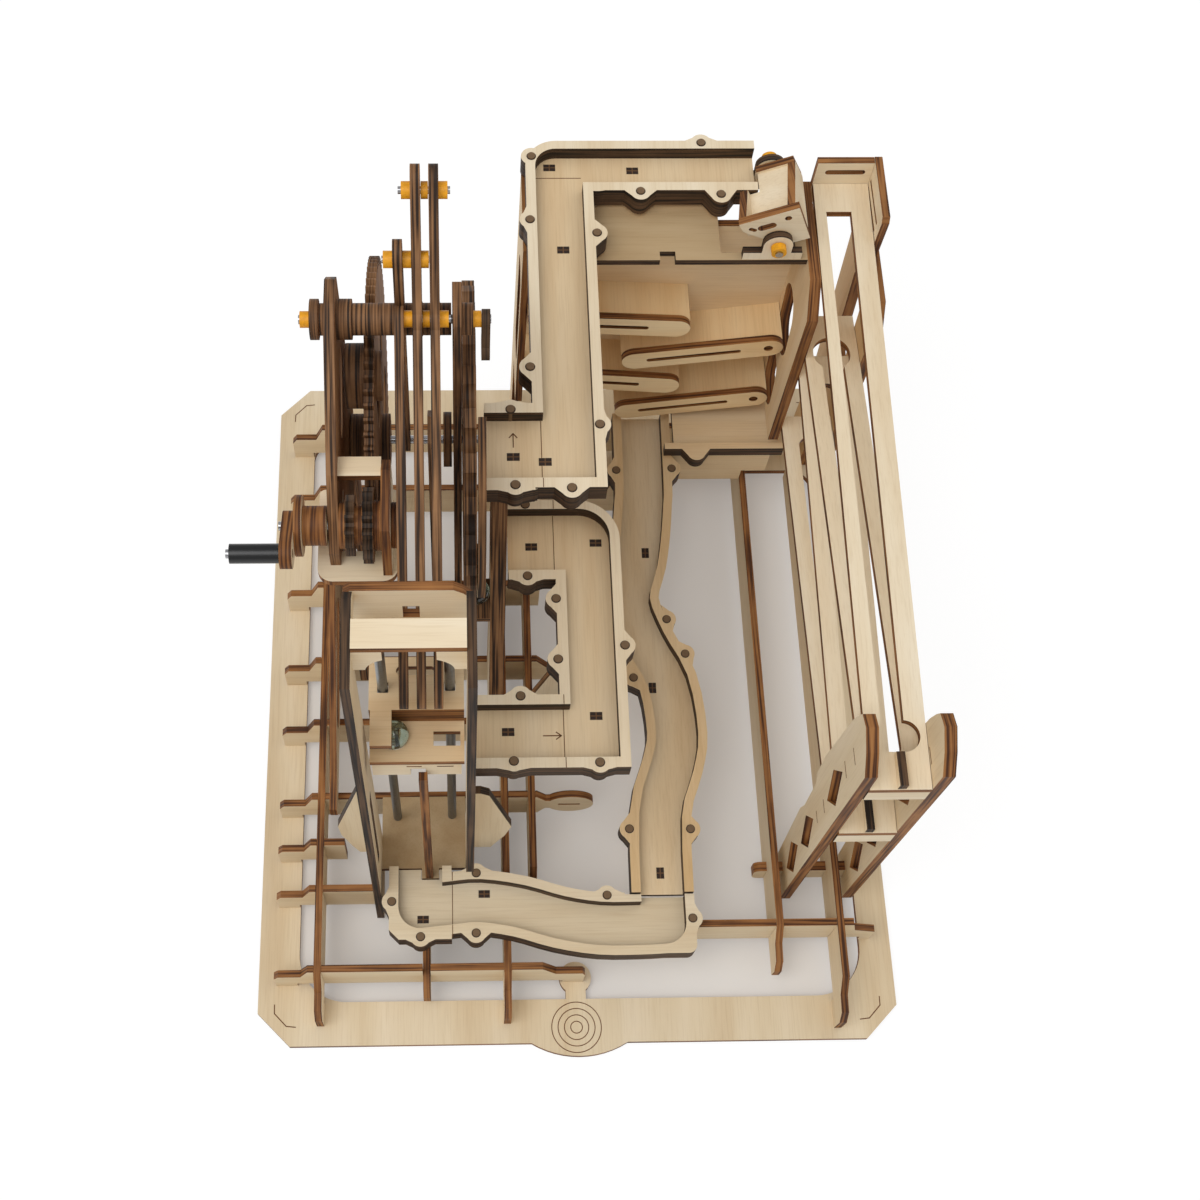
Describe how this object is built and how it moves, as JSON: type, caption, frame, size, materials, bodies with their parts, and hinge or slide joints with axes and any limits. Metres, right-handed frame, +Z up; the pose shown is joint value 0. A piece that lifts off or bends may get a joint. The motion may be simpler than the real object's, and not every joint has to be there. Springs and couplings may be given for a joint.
{
  "type": "wooden marble run",
  "caption": "Hand-cranked marble run of laser-cut plywood with gear tower, marble lift, rail tracks, tipping bucket and slotted zig-zag tracks.",
  "frame": {"origin": "centre of the footprint's bounding box, at the table", "axes": "+X to the right of the pictured front, +Y towards the back, +Z up"},
  "size_m": [0.264, 0.3215, 0.2966],
  "materials": {
    "plywood": "matte",
    "plywood_face": "matte",
    "burnt_wood": "matte",
    "steel_pin": "satin",
    "steel_marble": "gloss",
    "yellow_cap": "matte",
    "black_grip": "satin"
  },
  "bodies": {
    "frame": {"base_plate": "plywood", "cross_ribs": "plywood", "long_ribs": "plywood", "tower_outrigger": "plywood", "front_brackets": "plywood", "bracket_tie_bar": "plywood", "front_end_plates": "plywood_face", "zigzag_track_1": "plywood_face", "zigzag_track_2": "plywood_face", "zigzag_track_3": "plywood_face", "zigzag_track_4": "plywood_face", "back_support": "plywood", "track_end_walls": "plywood_face", "box_left_wall": "plywood", "box_right_wall": "plywood", "box_back_wall": "plywood", "box_top": "plywood", "box_front_panel": "plywood", "box_channel": "plywood", "box_ramps": "plywood", "box_fences": "plywood_face", "bucket_bearings": "plywood", "top_floor": "plywood_face", "top_rails": "plywood", "middle_floor": "plywood_face", "middle_rails": "plywood", "lower_floor": "plywood_face", "lower_rails": "plywood", "front_floor": "plywood_face", "front_rails": "plywood", "rail_pins": "burnt_wood", "track_posts": "plywood", "lift_legs": "plywood", "lift_panels": "plywood_face", "lift_floor": "plywood", "lift_rods": "steel_pin", "waiting_marble": "steel_marble", "tower_frames": "plywood", "gearbox_plates": "plywood_face", "top_axle": "steel_pin", "axle_rings": "burnt_wood", "axle_caps": "yellow_cap"},
    "crank": {"crank_shaft": "steel_pin", "crank_discs": "plywood", "crank_gears": "burnt_wood"},
    "grip": {"crank_grip": "black_grip"},
    "wheel": {"wheel_axle": "steel_pin", "drive_gear": "burnt_wood", "marble_wheel": "burnt_wood"},
    "rocker": {"levers": "plywood", "lever_pins": "steel_pin", "lever_caps": "yellow_cap"},
    "carriage": {"lift_carriage": "plywood_face", "carriage_front": "plywood_face", "carried_marble": "steel_marble"},
    "bucket": {"bucket": "plywood", "bucket_pin": "steel_pin", "bucket_caps": "yellow_cap"},
    "release": {"release_leaf": "plywood"}
  },
  "joints": [
    {"name": "wheel_spin", "type": "hinge", "parent": "frame", "child": "wheel", "pos_m": [0, 0.03325, 0.1692], "axis": [1, 0, 0], "continuous": true},
    {"name": "crank_spin", "type": "hinge", "parent": "frame", "child": "crank", "pos_m": [0, -0.02566, 0.21699], "axis": [1, 0, 0], "continuous": true},
    {"name": "grip_spin", "type": "hinge", "parent": "crank", "child": "grip", "pos_m": [0, -0.03846, 0.22309], "axis": [1, 0, 0], "continuous": true},
    {"name": "lever_rock", "type": "hinge", "parent": "frame", "child": "rocker", "pos_m": [0, 0.03365, 0.247], "axis": [-1, 0, 0], "range_deg": [0, 5]},
    {"name": "lift_slide", "type": "slide", "parent": "frame", "child": "carriage", "axis": [0, 0, -1], "range_m": [0, 0.115]},
    {"name": "bucket_tip", "type": "hinge", "parent": "frame", "child": "bucket", "pos_m": [0.074, 0, 0.1805], "axis": [0, 1, 0], "range_deg": [0, 40]},
    {"name": "release_swing", "type": "hinge", "parent": "frame", "child": "release", "pos_m": [0, 0.03365, 0.247], "axis": [1, 0, 0], "range_deg": [-10, 10]}
  ],
  "couplings": [
    {"joint": "crank_spin", "follows": "wheel_spin", "ratio": -5.7333}
  ]
}
